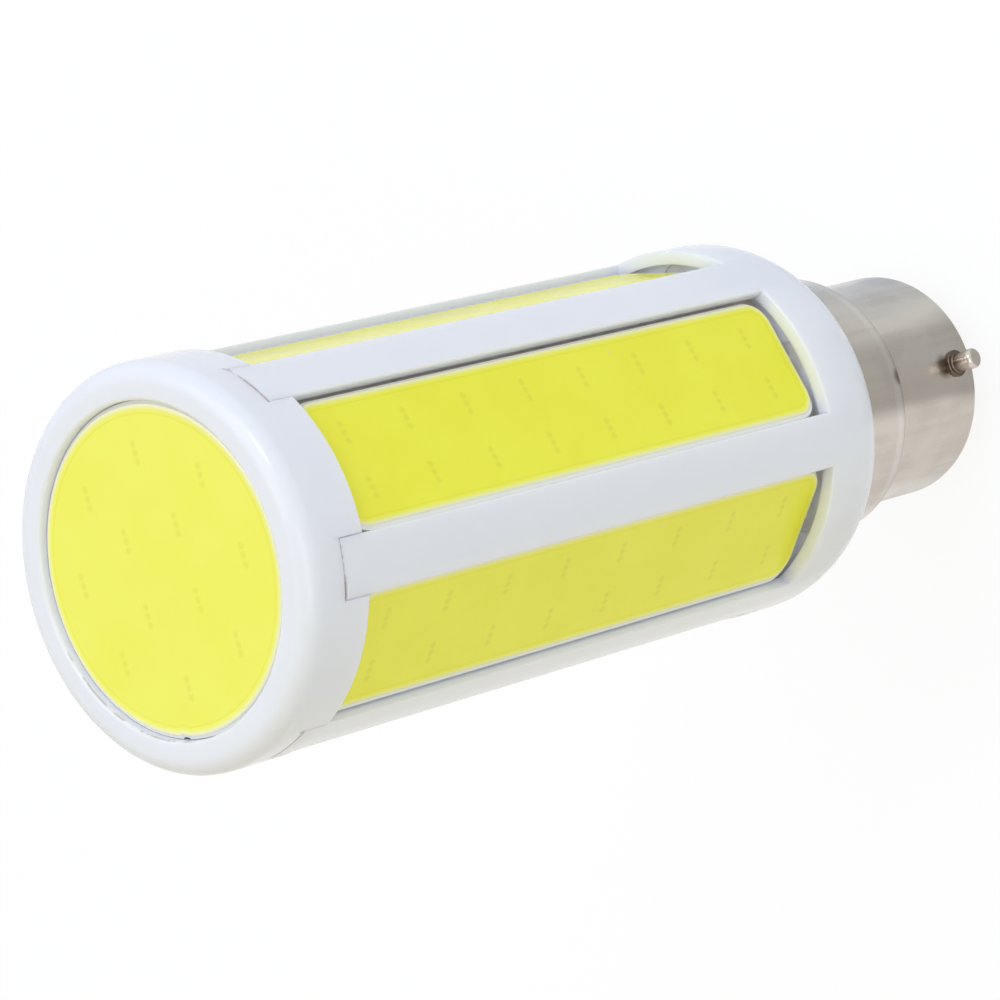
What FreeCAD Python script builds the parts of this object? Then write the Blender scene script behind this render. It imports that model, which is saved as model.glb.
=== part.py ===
import FreeCAD, Part
import math
import os

# Corn LED bulb with a bayonet cap.
# The axis is Z and the cap points down. The origin is where the two contacts meet the lamp holder,
# and the two bayonet pins lie on the X axis. Lengths are in millimetres and angles in degrees.

# Moulded body
BODY_DIAMETER = 35.6
CAGE_WALL = 1.3
PANEL_COUNT = 6
PANEL_TURN = 16.1
WINDOW_WIDTH = 13.0
WINDOW_LENGTH = 62.4
HOUSING_LENGTH = 9.9
HOUSING_ROUND = 5.6
WINDOW_EDGE_ROUND = 0.3

# Bulkhead that closes the housing behind the windows
BULKHEAD_SET_BACK = 0.8
BULKHEAD_THICKNESS = 1.5
BULKHEAD_BORE = 13.0
WIRE_HOLE_DIAMETER = 3.2
WIRE_SEAL_RECESS = 0.2

# Front ring
RING_DEPTH = 7.1
RING_SKIRT_WALL = 1.1
RING_FACE_WIDTH = 3.25
RING_FRONT_ROUND = 1.8
RING_LIP_ROUND = 0.35
RING_LEDGE_WIDTH = 3.4
RING_LEDGE_THICKNESS = 1.6
RIB_TIP_REACH = 2.7
RIB_TIP_GAP = 0.2
RIB_SIDE_GAP = 0.1

# Heat sink tube and light boards
SINK_FIT = 0.1
SINK_WALL = 1.5
BOARD_THICKNESS = 1.2
BOARD_SIDE_GAP = 0.4
BOARD_REAR_GAP = 0.1
BOARD_TUCK = 0.2
BOARD_SIDE_BORDER = 0.15
BOARD_END_BORDER = 0.1
BOARD_CORNER = 2.5
PHOSPHOR_THICKNESS = 0.35
PHOSPHOR_EDGE_ROUND = 0.2
END_RECESS = 0.55
END_BOARD_GAP = 0.05
END_BOARD_BORDER = 0.28
END_NOTCH_RADIUS = 0.42
END_NOTCH_TURN = -102.0

# LED chips, each solid a short row of dies under the phosphor
CHIP_LENGTH = 1.9
CHIP_WIDTH = 0.36
CHIP_HEIGHT = 0.15
CHIPS_PER_ROW = 8
CHIP_ROW_SPACING = 5.3
CHIP_END_MARGIN = 4.55
END_CHIP_EDGE = 4.07
END_CHIP_STEP = 5.5
END_CHIP_SPACING = 7.6
END_CHIPS_OUTER_TURN = -4.4
END_CHIPS_INNER_TURN = 45.7

# Bayonet cap
BARREL_DIAMETER = 22.0
BARREL_LENGTH = 14.4
BARREL_END_ROUND = 1.4
COLLAR_DIAMETER = 25.4
COLLAR_LENGTH = 8.0
COLLAR_RIM_ROUND = 0.5
SHOULDER_DROP = 0.6
CAP_METAL = 0.4
CAP_END_BORE = 17.6
PIN_DIAMETER = 2.0
PIN_REACH = 2.6
PIN_HEIGHT = 3.25
PIN_TIP_ROUND = 0.45
PIN_BASE_ROUND = 0.2
PIN_SHANK_DIAMETER = 1.4
PIN_FLANGE_DIAMETER = 2.7
PIN_FLANGE_THICKNESS = 0.25
PIN_HEAD_LENGTH = 0.6
INSULATOR_PROUD = 1.6
INSULATOR_DEPTH = 3.0
INSULATOR_EDGE_ROUND = 0.8
INSULATOR_FIT = 0.1
CONTACT_DIAMETER = 5.6
CONTACT_SPACING = 9.4
CONTACT_RISE = 1.0
CONTACT_EDGE = 0.4
CONTACT_STEM_DIAMETER = 1.6
NECK_FIT = 0.1
NECK_LENGTH = 6.6

# Driver and wires
DRIVER_THICKNESS = 1.2
DRIVER_SIDE_FIT = 0.2
DRIVER_END_GAP = 1.0
RAIL_THICKNESS = 0.8
RAIL_GRIP = 0.8
RAIL_FIT = 0.1
WIRE_DIAMETER = 1.2
RISER_DIAMETER = 0.8
HARNESS_DROP = 1.9
HARNESS_SPLICE_DIAMETER = 1.8
HARNESS_SPLICE_LENGTH = 2.0
END_LEAD_OFFSET = 3.0
CAPACITOR_DIAMETER = 8.0
CAPACITOR_LENGTH = 12.0
CAPACITOR_ROUND = 0.6
INDUCTOR_SIZE = 8.0
INDUCTOR_FLANGE = 1.4
INDUCTOR_WINDING = 6.4
RECTIFIER_LENGTH = 4.8
RECTIFIER_WIDTH = 4.0
RECTIFIER_HEIGHT = 1.6
FUSE_DIAMETER = 3.0
FUSE_LENGTH = 8.0

# Levels along the axis, from the contacts up
body_radius = BODY_DIAMETER / 2
barrel_radius = BARREL_DIAMETER / 2
collar_radius = COLLAR_DIAMETER / 2
shell_end = INSULATOR_PROUD + CONTACT_RISE
rim_level = shell_end + BARREL_LENGTH
housing_level = rim_level + COLLAR_LENGTH
window_level = housing_level + HOUSING_LENGTH
skirt_level = window_level + WINDOW_LENGTH
front_level = skirt_level + RING_DEPTH
bulkhead_top = window_level - BULKHEAD_SET_BACK
bulkhead_base = bulkhead_top - BULKHEAD_THICKNESS
rib_tip_level = skirt_level + RIB_TIP_REACH
insulator_top = shell_end + INSULATOR_DEPTH

# Radii and places that follow from the driving dimensions
cage_bore = body_radius - CAGE_WALL
neck_radius = collar_radius - CAP_METAL - NECK_FIT
neck_bore = neck_radius - CAGE_WALL
shoulder_room = body_radius - collar_radius
housing_round = min(HOUSING_ROUND, HOUSING_LENGTH - CAGE_WALL, shoulder_room + CAGE_WALL)
sink_flat = (cage_bore - SINK_FIT) * math.cos(math.pi / PANEL_COUNT)
board_top = sink_flat + BOARD_THICKNESS
phosphor_top = board_top + PHOSPHOR_THICKNESS
board_width = WINDOW_WIDTH - 2 * BOARD_SIDE_GAP
board_base = window_level + BOARD_REAR_GAP
board_end = skirt_level + BOARD_TUCK
opening_radius = body_radius - RING_FACE_WIDTH
end_board_radius = opening_radius - END_BOARD_GAP
end_phosphor_radius = end_board_radius - END_BOARD_BORDER
end_phosphor_top = front_level - END_RECESS
end_board_top = end_phosphor_top - PHOSPHOR_THICKNESS
ledge_top = end_board_top - BOARD_THICKNESS
ledge_base = ledge_top - RING_LEDGE_THICKNESS
wire_radius = WIRE_DIAMETER / 2
wire_circle = sink_flat + BOARD_THICKNESS / 2
riser_radius = RISER_DIAMETER / 2
riser_circle = sink_flat + riser_radius
panel_step = 360.0 / PANEL_COUNT

# Points closer together than this count as one
TOUCH = 1e-4

ORIGIN = FreeCAD.Vector(0, 0, 0)
UP = FreeCAD.Vector(0, 0, 1)
OUT = FreeCAD.Vector(1, 0, 0)

# Folder of the finished pieces
os.makedirs("parts", exist_ok=True)


def in_section(x, y):
    """Point of a profile that is turned about the axis: radius and height."""
    return FreeCAD.Vector(x, 0, y)


def rounded_wire(corners, place):
    """Closed outline through corners given as (x, y) or (x, y, rounding)."""
    points = [place(c[0], c[1]) for c in corners]
    rounds = [c[2] if len(c) > 2 else 0.0 for c in corners]
    starts = []
    ends = []
    arcs = []
    for i, point in enumerate(points):
        back = (points[i - 1] - point).normalize()
        onward = (points[(i + 1) % len(points)] - point).normalize()
        if not rounds[i]:
            starts.append(point)
            ends.append(point)
            arcs.append(None)
            continue
        half = back.getAngle(onward) / 2
        inward = (back + onward).normalize()
        reach = rounds[i] / math.tan(half)
        middle = point + inward * (rounds[i] / math.sin(half) - rounds[i])
        starts.append(point + back * reach)
        ends.append(point + onward * reach)
        arcs.append(Part.Arc(starts[i], middle, ends[i]).toShape())
    edges = []
    for i in range(len(points)):
        if arcs[i]:
            edges.append(arcs[i])
        following = starts[(i + 1) % len(points)]
        if ends[i].distanceToPoint(following) > TOUCH:
            edges.append(Part.LineSegment(ends[i], following).toShape())
    return Part.Wire(edges)


def turned(corners):
    """Solid of revolution about the axis from a profile in radius and height."""
    return Part.Face(rounded_wire(corners, in_section)).revolve(ORIGIN, UP, 360)


def rod(radius, start, end):
    """Round bar from one point to another."""
    return Part.makeCylinder(radius, start.distanceToPoint(end), start, end - start)


def block(low, high):
    """Box between two opposite corners."""
    size = FreeCAD.Vector(*high) - FreeCAD.Vector(*low)
    return Part.makeBox(size.x, size.y, size.z, FreeCAD.Vector(*low))


def slab_on_panel(inner, outer, width, low, high, corner):
    """Plate with rounded corners that lies across +X, between two distances from the axis."""
    outline = [
        (-width / 2, low, corner),
        (width / 2, low, corner),
        (width / 2, high, corner),
        (-width / 2, high, corner),
    ]
    wire = rounded_wire(outline, lambda y, z: FreeCAD.Vector(inner, y, z))
    return Part.Face(wire).extrude(OUT * (outer - inner))


def panel_angle(index):
    """Direction of a panel's face about the axis."""
    return PANEL_TURN + index * panel_step


def about_axis(shape, angle):
    """Copy of a shape turned about the axis."""
    copy = shape.copy()
    copy.rotate(ORIGIN, UP, angle)
    return copy


def around_panels(shape):
    """Copies of a shape, one for each panel."""
    return [about_axis(shape, panel_angle(i)) for i in range(PANEL_COUNT)]


def save(name, shape):
    """Write one piece to its own file."""
    shape.exportStep("parts/" + name + ".step")


def window_slots(width, low, high):
    """Straight slots across the wall, one in front of each panel."""
    slot = block((sink_flat, -width / 2, low), (body_radius * 2, width / 2, high))
    return around_panels(slot)


def edges_at(shape, test):
    """Edges whose ends and middle all pass a test."""
    chosen = []
    for edge in shape.Edges:
        middle = edge.valueAt((edge.FirstParameter + edge.LastParameter) / 2)
        if all(test(p) for p in [v.Point for v in edge.Vertexes] + [middle]):
            chosen.append(edge)
    return chosen


# Rib cage: rear housing, bulkhead, neck and six ribs in one moulding
cage_profile = [
    (body_radius, rib_tip_level),
    (body_radius, housing_level, housing_round),
    (neck_radius, housing_level),
    (neck_radius, housing_level - NECK_LENGTH),
    (neck_bore, housing_level - NECK_LENGTH),
    (neck_bore, housing_level + CAGE_WALL),
    (cage_bore, housing_level + CAGE_WALL, housing_round - CAGE_WALL),
    (cage_bore, bulkhead_base),
    (BULKHEAD_BORE / 2, bulkhead_base),
    (BULKHEAD_BORE / 2, bulkhead_top),
    (cage_bore, bulkhead_top),
    (cage_bore, rib_tip_level),
]
cage = turned(cage_profile)
wire_hole = rod(
    WIRE_HOLE_DIAMETER / 2,
    FreeCAD.Vector(wire_circle, 0, bulkhead_base),
    FreeCAD.Vector(wire_circle, 0, bulkhead_top),
)
cage = cage.cut(window_slots(WINDOW_WIDTH, window_level, rib_tip_level) + around_panels(wire_hole))


def on_outer_edge(point):
    """True on the outer wall between the housing and the rib tips."""
    on_wall = abs(math.hypot(point.x, point.y) - body_radius) < TOUCH
    return on_wall and point.z > window_level - TOUCH


cage = cage.makeFillet(WINDOW_EDGE_ROUND, edges_at(cage, on_outer_edge))

# Guide rails in the neck that hold the driver board by its two edges
driver_half = min(barrel_radius - CAP_METAL, neck_bore) - DRIVER_SIDE_FIT
rail_inner = driver_half - RAIL_GRIP
rail_gap = DRIVER_THICKNESS / 2 + RAIL_FIT
for side in (-1, 1):
    for face in (-1, 1):
        across = sorted([face * rail_gap, face * (rail_gap + RAIL_THICKNESS)])
        along = sorted([side * rail_inner, side * (neck_bore + CAGE_WALL / 2)])
        low = (across[0], along[0], housing_level - NECK_LENGTH)
        high = (across[1], along[1], housing_level + CAGE_WALL)
        cage = cage.fuse(block(low, high))
cage = cage.removeSplitter()
save("rib_cage", cage)

# Front ring: lip, ledge for the end board and notched skirt
ring_profile = [
    (body_radius, skirt_level, WINDOW_EDGE_ROUND),
    (body_radius, front_level, RING_FRONT_ROUND),
    (opening_radius, front_level, RING_LIP_ROUND),
    (opening_radius, ledge_top),
    (opening_radius - RING_LEDGE_WIDTH, ledge_top),
    (opening_radius - RING_LEDGE_WIDTH, ledge_base),
    (body_radius - RING_SKIRT_WALL, ledge_base),
    (body_radius - RING_SKIRT_WALL, skirt_level),
]
notch_end = rib_tip_level + RIB_TIP_GAP
notch_sleeve = Part.makeCylinder(body_radius * 2, notch_end - window_level, UP * window_level)
notch_core = Part.makeCylinder(cage_bore - RIB_SIDE_GAP, notch_end - window_level, UP * window_level)
notches = notch_sleeve.cut(notch_core)
notches = notches.cut(window_slots(WINDOW_WIDTH - 2 * RIB_SIDE_GAP, window_level, notch_end))
ring = turned(ring_profile).cut(notches)
save("front_ring", ring)

# Heat sink: hexagonal aluminium tube between the bulkhead and the ring's ledge


def hexagon_prism(flat, low, high):
    """Prism whose faces look along the panel directions."""
    corner = flat / math.cos(math.pi / PANEL_COUNT)
    angles = [math.radians(panel_angle(i) + panel_step / 2) for i in range(PANEL_COUNT + 1)]
    points = [FreeCAD.Vector(corner * math.cos(t), corner * math.sin(t), low) for t in angles]
    return Part.Face(Part.makePolygon(points)).extrude(UP * (high - low))


sink = hexagon_prism(sink_flat, bulkhead_top, ledge_base)
sink = sink.cut(hexagon_prism(sink_flat - SINK_WALL, bulkhead_top, ledge_base))
save("heat_sink", sink)

# Side light boards with their chips and phosphor coats
board = slab_on_panel(sink_flat, board_top, board_width, board_base, board_end, BOARD_CORNER)
coat_low = board_base + BOARD_END_BORDER
coat_high = board_end - BOARD_END_BORDER
coat_width = board_width - 2 * BOARD_SIDE_BORDER
coat_corner = BOARD_CORNER - BOARD_END_BORDER
coat = slab_on_panel(board_top, phosphor_top, coat_width, coat_low, coat_high, coat_corner)
coat_rim = edges_at(coat, lambda p: abs(p.x - phosphor_top) < TOUCH)
coat = coat.makeFillet(PHOSPHOR_EDGE_ROUND, coat_rim)

first_chip = coat_low + CHIP_END_MARGIN
chip_pitch = (coat_high - coat_low - 2 * CHIP_END_MARGIN) / (CHIPS_PER_ROW - 1)
side_chips = []
for row in (-CHIP_ROW_SPACING / 2, CHIP_ROW_SPACING / 2):
    for i in range(CHIPS_PER_ROW):
        level = first_chip + i * chip_pitch
        low = (board_top, row - CHIP_LENGTH / 2, level - CHIP_WIDTH / 2)
        high = (board_top + CHIP_HEIGHT, row + CHIP_LENGTH / 2, level + CHIP_WIDTH / 2)
        side_chips.append(block(low, high))
coat = coat.cut(side_chips)
side_chips = Part.makeCompound(side_chips)

for i in range(PANEL_COUNT):
    number = str(i + 1)
    save("side_board_" + number, about_axis(board, panel_angle(i)))
    save("side_phosphor_" + number, about_axis(coat, panel_angle(i)))
    save("side_chips_" + number, about_axis(side_chips, panel_angle(i)))

# End light board with its wire notch, chips and phosphor coat
end_board = Part.makeCylinder(end_board_radius, BOARD_THICKNESS, UP * ledge_top)
end_notch = Part.makeCylinder(END_NOTCH_RADIUS, BOARD_THICKNESS, OUT * end_board_radius + UP * ledge_top)
end_board = end_board.cut(about_axis(end_notch, END_NOTCH_TURN))
save("end_board", end_board)

end_chips = []
outer_circle = end_phosphor_radius - END_CHIP_EDGE
rings = [
    (outer_circle, END_CHIPS_OUTER_TURN),
    (outer_circle - END_CHIP_STEP, END_CHIPS_INNER_TURN),
]
for radius, turn in rings:
    count = round(2 * math.pi * radius / END_CHIP_SPACING)
    for i in range(count):
        angle = math.radians(turn + i * 360.0 / count)
        x = radius * math.cos(angle)
        y = radius * math.sin(angle)
        low = (x - CHIP_WIDTH / 2, y - CHIP_LENGTH / 2, end_board_top)
        high = (x + CHIP_WIDTH / 2, y + CHIP_LENGTH / 2, end_board_top + CHIP_HEIGHT)
        end_chips.append(block(low, high))
end_coat_profile = [
    (0, end_board_top),
    (end_phosphor_radius, end_board_top),
    (end_phosphor_radius, end_phosphor_top, PHOSPHOR_EDGE_ROUND),
    (0, end_phosphor_top),
]
end_notch_clear = about_axis(end_notch, END_NOTCH_TURN)
end_notch_clear.translate(UP * BOARD_THICKNESS)
save("end_phosphor", turned(end_coat_profile).cut(end_chips + [end_notch_clear]))
save("end_chips", Part.makeCompound(end_chips))

# Bayonet cap shell: collar over the neck, shoulder and barrel, drawn from one sheet
shell_profile = [
    (collar_radius, housing_level),
    (collar_radius, rim_level, COLLAR_RIM_ROUND),
    (barrel_radius, rim_level - SHOULDER_DROP),
    (barrel_radius, shell_end, BARREL_END_ROUND),
    (CAP_END_BORE / 2, shell_end),
    (CAP_END_BORE / 2, shell_end + CAP_METAL),
    (barrel_radius - CAP_METAL, shell_end + CAP_METAL, BARREL_END_ROUND - CAP_METAL),
    (barrel_radius - CAP_METAL, rim_level - SHOULDER_DROP + CAP_METAL),
    (collar_radius - CAP_METAL, rim_level + CAP_METAL),
    (collar_radius - CAP_METAL, housing_level),
]
pin_level = shell_end + PIN_HEIGHT
pin_tip = barrel_radius + PIN_REACH
pin_hole = rod(PIN_SHANK_DIAMETER / 2, OUT * -pin_tip + UP * pin_level, OUT * pin_tip + UP * pin_level)
save("cap_shell", turned(shell_profile).cut(pin_hole))

# Bayonet pins: a thinner shank riveted through the barrel, with a flange outside and a head inside
pin_root = barrel_radius - CAP_METAL - PIN_HEAD_LENGTH
pin_flange_out = barrel_radius + PIN_FLANGE_THICKNESS
pin_profile = [
    (0, pin_root),
    (PIN_FLANGE_DIAMETER / 2, pin_root),
    (PIN_FLANGE_DIAMETER / 2, pin_flange_out),
    (PIN_DIAMETER / 2, pin_flange_out, PIN_BASE_ROUND),
    (PIN_DIAMETER / 2, pin_tip, PIN_TIP_ROUND),
    (0, pin_tip),
]
pin_blank = turned(pin_profile)
pin_blank.rotate(ORIGIN, FreeCAD.Vector(0, 1, 0), 90)
pin_blank.translate(UP * pin_level)
pin_post = pin_blank.cut(Part.makeCylinder(barrel_radius, 2 * BARREL_LENGTH))
pin_head = pin_blank.common(Part.makeCylinder(barrel_radius - CAP_METAL, 2 * BARREL_LENGTH))
pin_foot = OUT * pin_root + UP * pin_level
pin_shank = Part.makeCylinder(PIN_SHANK_DIAMETER / 2, pin_flange_out - pin_root, pin_foot, OUT)
pin = pin_post.fuse([pin_head, pin_shank]).removeSplitter()
save("bayonet_pin_1", pin)
save("bayonet_pin_2", about_axis(pin, 180))

# Insulator: pressed into the barrel's end, with a raised face and two contact holes
plug_radius = barrel_radius - CAP_METAL - INSULATOR_FIT
plug_base = shell_end + CAP_METAL
boss_radius = CAP_END_BORE / 2 - INSULATOR_FIT
plug_round = max(BARREL_END_ROUND - CAP_METAL, INSULATOR_FIT)
insulator_profile = [
    (0, CONTACT_RISE),
    (boss_radius, CONTACT_RISE, INSULATOR_EDGE_ROUND),
    (boss_radius, plug_base),
    (plug_radius, plug_base, plug_round),
    (plug_radius, insulator_top),
    (0, insulator_top),
]
contact_holes = []
for side in (-1, 1):
    foot = FreeCAD.Vector(0, side * CONTACT_SPACING / 2, 0)
    contact_holes.append(rod(CONTACT_STEM_DIAMETER / 2, foot, foot + UP * insulator_top))
insulator = turned(insulator_profile).cut(contact_holes)
for side in (0, 180):
    insulator = insulator.cut(about_axis(pin_head, side))
save("cap_insulator", insulator)

# Contacts: domed brass plates with a stem through the insulator, and the mains leads above them
driver_base = insulator_top + DRIVER_END_GAP
driver_top = bulkhead_base - DRIVER_END_GAP
contact_profile = [
    (0, 0),
    (CONTACT_DIAMETER / 2 - CONTACT_RISE, 0, CONTACT_RISE),
    (CONTACT_DIAMETER / 2, CONTACT_RISE - CONTACT_EDGE),
    (CONTACT_DIAMETER / 2, CONTACT_RISE),
    (CONTACT_STEM_DIAMETER / 2, CONTACT_RISE),
    (CONTACT_STEM_DIAMETER / 2, insulator_top),
    (0, insulator_top),
]
contact = turned(contact_profile)
for i, side in enumerate((1, -1)):
    shift = FreeCAD.Vector(0, side * CONTACT_SPACING / 2, 0)
    placed = contact.copy()
    placed.translate(shift)
    save("cap_contact_" + str(i + 1), placed)
    save("mains_lead_" + str(i + 1), rod(wire_radius, shift + UP * insulator_top, shift + UP * driver_base))

# Driver board: stands in the neck's rails, from just above the insulator to just below the bulkhead
driver_face = DRIVER_THICKNESS / 2
save("driver_board", block((-driver_face, -driver_half, driver_base), (driver_face, driver_half, driver_top)))

# Driver pieces: capacitor and rectifier on one face, inductor and fuse resistor on the other
capacitor_place = FreeCAD.Vector(driver_face + CAPACITOR_DIAMETER / 2, 0, driver_base)
capacitor_radius = CAPACITOR_DIAMETER / 2
capacitor = turned([
    (0, 0),
    (capacitor_radius, 0, CAPACITOR_ROUND),
    (capacitor_radius, CAPACITOR_LENGTH, CAPACITOR_ROUND),
    (0, CAPACITOR_LENGTH),
])
capacitor.translate(capacitor_place + UP * DRIVER_END_GAP)
save("capacitor", capacitor)

rectifier_base = driver_base + 2 * DRIVER_END_GAP + CAPACITOR_LENGTH
rectifier_low = (driver_face, -RECTIFIER_LENGTH / 2, rectifier_base)
rectifier_high = (driver_face + RECTIFIER_HEIGHT, RECTIFIER_LENGTH / 2, rectifier_base + RECTIFIER_WIDTH)
save("rectifier", block(rectifier_low, rectifier_high))

inductor_base = driver_base + DRIVER_END_GAP
half_inductor = INDUCTOR_SIZE / 2
inductor_low = (-driver_face - INDUCTOR_SIZE, -half_inductor, inductor_base)
inductor_high = (-driver_face, half_inductor, inductor_base + INDUCTOR_FLANGE)
inductor = block(inductor_low, inductor_high)
upper_flange = inductor.copy()
upper_flange.translate(UP * (INDUCTOR_SIZE - INDUCTOR_FLANGE))
winding_foot = FreeCAD.Vector(-driver_face - half_inductor, 0, inductor_base + INDUCTOR_FLANGE)
winding = rod(INDUCTOR_WINDING / 2, winding_foot, winding_foot + UP * (INDUCTOR_SIZE - 2 * INDUCTOR_FLANGE))
save("inductor", inductor.fuse([winding, upper_flange]).removeSplitter())

fuse_base = inductor_base + INDUCTOR_SIZE + DRIVER_END_GAP
fuse_foot = FreeCAD.Vector(-driver_face - FUSE_DIAMETER / 2, 0, fuse_base)
save("fuse_resistor", rod(FUSE_DIAMETER / 2, fuse_foot, fuse_foot + UP * FUSE_LENGTH))

# Board harness: wire runs from hole to hole under the bulkhead, with a splice and a riser below each board
harness_level = bulkhead_base - HARNESS_DROP
feet = [turned_foot.Point for turned_foot in around_panels(Part.Vertex(riser_circle, 0, harness_level))]
half_splice = UP * (HARNESS_SPLICE_LENGTH / 2)
harness = []
for i, foot in enumerate(feet):
    harness.append(rod(HARNESS_SPLICE_DIAMETER / 2, foot - half_splice, foot + half_splice))
    harness.append(rod(wire_radius, feet[i - 1], foot))
    harness.append(rod(riser_radius, foot, foot + UP * (board_base - harness_level)))

# Wire seals: a white silicone plug round each riser, a little below the bulkhead's face
riser = Part.makeCylinder(riser_radius, BULKHEAD_THICKNESS, FreeCAD.Vector(riser_circle, 0, bulkhead_base))
seal = Part.makeCylinder(
    WIRE_HOLE_DIAMETER / 2,
    BULKHEAD_THICKNESS - WIRE_SEAL_RECESS,
    FreeCAD.Vector(wire_circle, 0, bulkhead_base),
)
save("wire_seals", Part.makeCompound(around_panels(seal.cut(riser))))

# A tap runs from each edge of the driver to the wire run that crosses in front of it
for i, foot in enumerate(feet):
    before = feet[i - 1]
    if min(before.x, foot.x) < 0 <= max(before.x, foot.x):
        tap_end = before + (foot - before) * (before.x / (before.x - foot.x))
        tap_start = FreeCAD.Vector(0, math.copysign(driver_half, tap_end.y), harness_level)
        harness.append(rod(wire_radius, tap_start, tap_end))
        harness.append(rod(HARNESS_SPLICE_DIAMETER / 2, tap_end - half_splice, tap_end + half_splice))
save("board_harness", harness[0].fuse(harness[1:]).removeSplitter())

# End board lead: straight from the driver through the bulkhead and the tube to the end board
lead_foot = FreeCAD.Vector(0, END_LEAD_OFFSET, driver_top)
save("end_board_lead", rod(wire_radius, lead_foot, FreeCAD.Vector(0, END_LEAD_OFFSET, ledge_top)))
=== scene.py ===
import math

import bmesh
import bpy
from mathutils import Matrix, Vector


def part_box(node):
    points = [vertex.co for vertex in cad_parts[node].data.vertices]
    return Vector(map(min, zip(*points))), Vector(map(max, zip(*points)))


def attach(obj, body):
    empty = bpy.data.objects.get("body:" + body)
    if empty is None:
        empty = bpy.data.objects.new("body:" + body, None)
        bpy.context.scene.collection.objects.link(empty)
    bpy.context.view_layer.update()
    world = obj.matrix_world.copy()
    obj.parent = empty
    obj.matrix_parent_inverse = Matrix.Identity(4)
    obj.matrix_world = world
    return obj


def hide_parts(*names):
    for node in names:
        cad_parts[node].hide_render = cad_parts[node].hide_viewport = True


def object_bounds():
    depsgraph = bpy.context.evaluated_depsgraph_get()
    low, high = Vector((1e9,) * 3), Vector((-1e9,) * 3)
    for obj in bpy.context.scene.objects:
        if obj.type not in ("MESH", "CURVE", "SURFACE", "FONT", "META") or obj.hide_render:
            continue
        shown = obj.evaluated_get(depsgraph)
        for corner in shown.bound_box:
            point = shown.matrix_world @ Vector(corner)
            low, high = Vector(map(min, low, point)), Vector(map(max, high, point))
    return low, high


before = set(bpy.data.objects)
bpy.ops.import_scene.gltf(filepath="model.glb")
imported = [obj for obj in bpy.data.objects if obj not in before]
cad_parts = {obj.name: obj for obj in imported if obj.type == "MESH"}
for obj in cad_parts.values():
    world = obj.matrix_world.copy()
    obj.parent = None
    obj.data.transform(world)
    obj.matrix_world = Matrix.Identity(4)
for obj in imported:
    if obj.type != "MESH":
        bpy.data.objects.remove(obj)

cad_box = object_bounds()

# Rib cage
# One white moulding: rear housing, bulkhead, neck and six ribs that run forward between the light panels.
# Its outer edges are softly rounded, and the rib tips seat in the notches of the front ring.
MM = 0.001
PANELS = 6
WINDOW_WIDTH = 13.0 * MM
BOARD_REAR_GAP = 0.1 * MM
CAGE_WALL = 1.3 * MM
EDGE_ROUND = 0.25 * MM
CRISP_SHARE = 0.4
HOUSING_ROUND = 5.6 * MM
NECK_RADIUS = 12.2 * MM
BULKHEAD_THICKNESS = 1.5 * MM
BULKHEAD_BORE = 6.5 * MM
WIRE_HOLE_RADIUS = 1.6 * MM
PANEL_COLUMNS = 28
RIB_COLUMNS = 12
RIB_ROWS = 26
HOUSING_STEPS = 18
HOLE_SEGMENTS = 48
DRILL_LENGTH = BULKHEAD_THICKNESS * 1.5
BEVEL_STEPS = 4
SHARP_ANGLE = 35.0
MOTTLE_DETAIL = 4.0
MOTTLE_SPREAD = (0.3, 0.7)
GRAIN_DETAIL = 2.0
GRAIN_HEIGHT = 0.02 * MM
PLASTIC_WHITE = (0.865, 0.895, 1.0, 1.0)
PLASTIC_SHADE = (0.85, 0.88, 0.985, 1.0)
PLASTIC_GLOW = 0.7
PLASTIC_DEPTH = 0.9 * MM
PLASTIC_ROUGHNESS = (0.14, 0.20)
PLASTIC_TONE_SCALE = 140.0
PLASTIC_GRAIN_SCALE = 2600.0
PLASTIC_GRAIN_STRENGTH = 0.12
SEAM_DIRT = (0.28, 0.17, 0.09, 1.0)
SEAM_REACH = (0.93, 0.99)
DIRT_SCALE = 600.0
DIRT_SPREAD = (0.15, 0.7)
DIRT_STRENGTH = (0.08, 0.55)
DUST_SPECKS = {"Scale": 700.0, "Share": 0.006, "Size": 0.12}
DUST_STRENGTH = 0.35


def rounded(corners, steps=8):
    """Outline through corners (x, y, rounding), where each rounding becomes an arc of short steps."""
    points = []
    for i, (x, y, radius) in enumerate(corners):
        here = Vector((x, y))
        if not radius:
            points.append(here)
            continue
        back = (Vector(corners[i - 1][:2]) - here).normalized()
        onward = (Vector(corners[(i + 1) % len(corners)][:2]) - here).normalized()
        half = back.angle(onward) / 2
        centre = here + (back + onward).normalized() * (radius / math.sin(half))
        start = here + back * (radius / math.tan(half)) - centre
        end = here + onward * (radius / math.tan(half)) - centre
        sweep = start.angle(end)
        for k in range(steps + 1):
            turn = sweep * k / steps
            points.append(centre + (start * math.sin(sweep - turn) + end * math.sin(turn)) / math.sin(sweep))
    return points


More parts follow.
